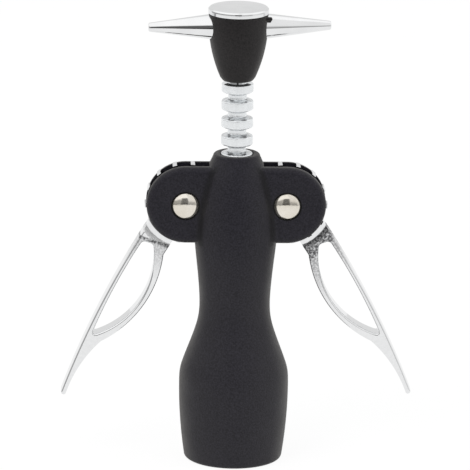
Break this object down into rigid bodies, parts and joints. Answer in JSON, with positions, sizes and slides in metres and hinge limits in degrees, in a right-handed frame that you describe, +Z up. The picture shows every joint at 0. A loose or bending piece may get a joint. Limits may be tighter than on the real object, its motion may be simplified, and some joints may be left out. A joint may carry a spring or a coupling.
{
  "type": "wing corkscrew",
  "caption": "Two-lever wing corkscrew: black bell-shaped body, windowed chrome levers geared to a ringed rack, turning worm, and a black handle with a chrome crossbar.",
  "frame": {"origin": "centre of the bell's mouth, on the plane that the tool stands on", "axes": "+Z up the worm's axis towards the handle, +X across the two levers to the right one, +Y from the front (rivet heads) to the back"},
  "size_m": [0.1256, 0.0392, 0.166],
  "materials": {
    "soft_black": "soft-touch black coating, fine satin grain",
    "lever_chrome": "polished chrome plate",
    "rack_chrome": "polished chrome plate, turned",
    "handle_chrome": "polished chrome plate",
    "worm_chrome": "plated steel wire",
    "rivet_nickel": "polished warm nickel",
    "plain_steel": "plain zinc-plated steel",
    "seat_plastic": "moulded, lightly textured",
    "washer_nylon": "natural nylon"
  },
  "bodies": {
    "body": {"body_casting": "soft_black", "bottle_seat": "seat_plastic", "left_rivet": "rivet_nickel", "right_rivet": "rivet_nickel", "left_rivet_cap": "rivet_nickel", "right_rivet_cap": "rivet_nickel", "left_gear_washers": "washer_nylon", "right_gear_washers": "washer_nylon"},
    "rack": {"rack_sleeve": "rack_chrome"},
    "handle": {"worm_spindle": "worm_chrome", "spindle_clip": "plain_steel", "thrust_washer": "washer_nylon", "nut_washer": "plain_steel", "spindle_nut": "plain_steel", "handle_hub": "soft_black", "left_crossbar": "handle_chrome", "right_crossbar": "handle_chrome", "top_cap": "handle_chrome"},
    "left_arm": {"left_lever": "lever_chrome"},
    "right_arm": {"right_lever": "lever_chrome"}
  },
  "joints": [
    {"name": "rack_slide", "type": "slide", "parent": "body", "child": "rack", "axis": [0, 0, 1], "range_m": [-0.0265, 0.00695]},
    {"name": "left_lever_swing", "type": "hinge", "parent": "body", "child": "left_arm", "pos_m": [-0.0181, 0, 0.0944], "axis": [0, 1, 0], "range_deg": [-28, 106.6]},
    {"name": "right_lever_swing", "type": "hinge", "parent": "body", "child": "right_arm", "pos_m": [0.0181, 0, 0.0944], "axis": [0, -1, 0], "range_deg": [-28, 106.6]},
    {"name": "handle_turn", "type": "hinge", "parent": "rack", "child": "handle", "pos_m": [0, 0, 0.15], "axis": [0, 0, 1], "continuous": true}
  ],
  "couplings": [
    {"joint": "left_lever_swing", "follows": "rack_slide", "rad_per_m": -70.125},
    {"joint": "right_lever_swing", "follows": "rack_slide", "rad_per_m": -70.125}
  ]
}
